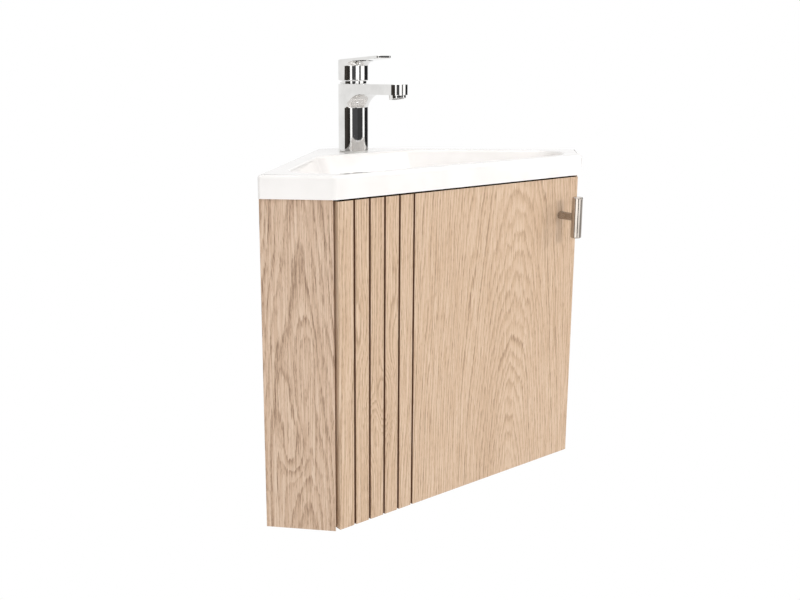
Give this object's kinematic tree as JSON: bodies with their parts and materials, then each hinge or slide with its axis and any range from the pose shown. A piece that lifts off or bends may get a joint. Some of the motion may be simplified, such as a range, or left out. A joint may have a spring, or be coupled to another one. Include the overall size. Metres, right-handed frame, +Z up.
{
  "type": "corner vanity unit",
  "caption": "Wall-hung corner vanity: five-sided oak-faced cabinet with a grooved door and bar knob, glazed basin, single-lever mixer, pop-up waste and bottle trap.",
  "frame": {"origin": "on the line where the two walls meet, at the height of the cabinet's underside", "axes": "+Z up; +Y points into the room's corner, so the door faces -Y; +X is to the right for a person who faces the door"},
  "size_m": [0.6104, 0.4177, 0.6438],
  "materials": {
    "door_oak": "light oak decor, upright grain, satin",
    "side_oak": "light oak decor, upright grain, satin",
    "inner_oak": "light oak decor, satin",
    "beech": "plain turned beech",
    "zinc_fitting": "die-cast, dull",
    "plated_steel": "nickel-plated, satin",
    "chrome": "polished",
    "glaze": "gloss white glaze",
    "rubber_black": "matt",
    "bumper_clear": "soft, translucent white",
    "white_plastic": "moulded, semi-matt",
    "brass": "turned",
    "dark_plastic": "moulded",
    "blue_plastic": "gloss"
  },
  "bodies": {
    "cabinet": {"left_side_panel": "side_oak", "right_side_panel": "side_oak", "bottom_panel": "inner_oak", "left_top_rail": "inner_oak", "right_top_rail": "inner_oak", "left_bottom_rail": "inner_oak", "right_bottom_rail": "inner_oak", "corner_post": "inner_oak", "door_stop_strip": "inner_oak", "board_dowels": "beech", "cam_discs": "zinc_fitting", "cam_bolts": "plated_steel", "hanger_plates": "plated_steel", "hanger_plate_screws": "plated_steel", "door_bumpers": "bumper_clear", "upper_hinge_plate": "plated_steel", "lower_hinge_plate": "plated_steel", "upper_hinge_arm": "plated_steel", "lower_hinge_arm": "plated_steel", "hinge_plate_screws": "plated_steel", "hinge_arm_screws": "plated_steel", "basin": "glaze", "tap_body": "chrome", "tap_base_gasket": "bumper_clear", "tap_cartridge": "white_plastic", "tap_cartridge_nut": "brass", "aerator_housing": "chrome", "aerator_insert": "dark_plastic", "tap_stud": "brass", "tap_fixing_gasket": "rubber_black", "tap_fixing_washer": "plated_steel", "tap_fixing_nut": "brass", "waste_flange": "chrome", "waste_flange_gasket": "rubber_black", "waste_lower_gasket": "rubber_black", "waste_nut": "white_plastic", "trap_inlet_pipe": "white_plastic", "trap_union_nut": "white_plastic", "trap_body": "white_plastic", "trap_cup": "white_plastic", "trap_slip_nuts": "white_plastic", "trap_outlet_pipe": "white_plastic", "wall_rose": "chrome"},
    "door": {"door_panel": "door_oak", "upper_hinge_cup": "plated_steel", "lower_hinge_cup": "plated_steel", "hinge_pins": "plated_steel", "hinge_cup_screws": "plated_steel", "knob_bar": "chrome", "knob_post": "chrome", "knob_screw": "plated_steel"},
    "tap_neck": {"tap_turret": "chrome", "tap_tilt_pin": "plated_steel"},
    "tap_handle": {"tap_lever": "chrome", "tap_lever_stem": "zinc_fitting", "tap_grub_screw": "plated_steel", "tap_index_plug": "blue_plastic"},
    "plug": {"waste_plug": "chrome", "waste_plug_seal": "rubber_black"}
  },
  "joints": [
    {"name": "door_hinge", "type": "hinge", "parent": "cabinet", "child": "door", "pos_m": [-0.21774, -0.36724, 0.2302], "axis": [0, 0, -1], "range_deg": [0, 95]},
    {"name": "tap_swivel", "type": "hinge", "parent": "cabinet", "child": "tap_neck", "pos_m": [0, -0.0976, 0.602], "axis": [0, 0, 1], "range_deg": [-45, 45]},
    {"name": "tap_lift", "type": "hinge", "parent": "tap_neck", "child": "tap_handle", "pos_m": [0, -0.0976, 0.613], "axis": [-1, 0, 0], "range_deg": [0, 20]},
    {"name": "plug_slide", "type": "slide", "parent": "cabinet", "child": "plug", "axis": [0, 0, 1], "range_m": [0, 0.008]}
  ]
}
